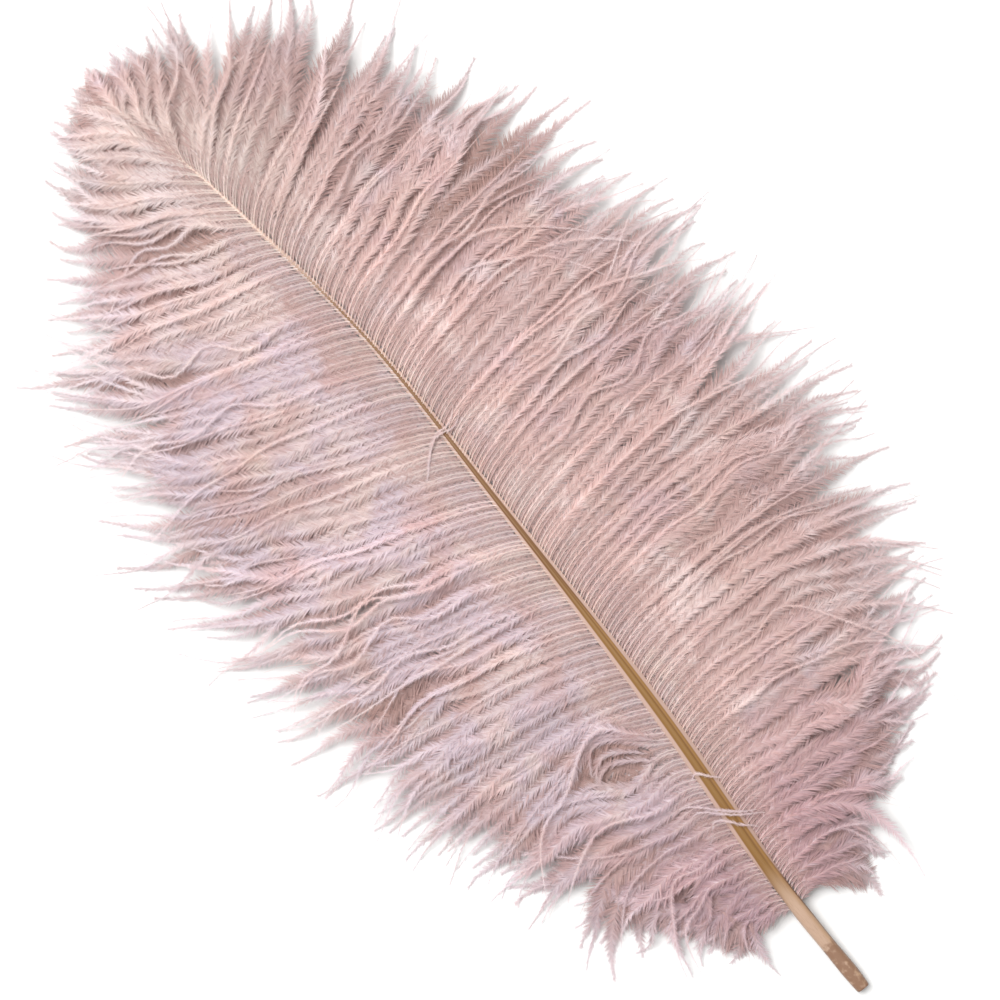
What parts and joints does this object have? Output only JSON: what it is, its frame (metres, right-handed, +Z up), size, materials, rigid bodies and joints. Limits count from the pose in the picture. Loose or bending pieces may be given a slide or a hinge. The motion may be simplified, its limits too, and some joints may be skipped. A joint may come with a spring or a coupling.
{
  "type": "ostrich feather",
  "caption": "Dusty pink ostrich plume lying face up: an arched tan shaft with soft drooping barbs on both sides.",
  "frame": {"origin": "middle of the base, on the surface that the plume lies on", "axes": "+X from the quill towards the tip, +Y to the left of the shaft, +Z up"},
  "size_m": [0.4632, 0.2732, 0.0267],
  "materials": {
    "barbs": "soft dusty pink fluff",
    "shaft": "satin golden brown keratin"
  },
  "bodies": {
    "root": {"feather": "barbs"}
  },
  "joints": []
}
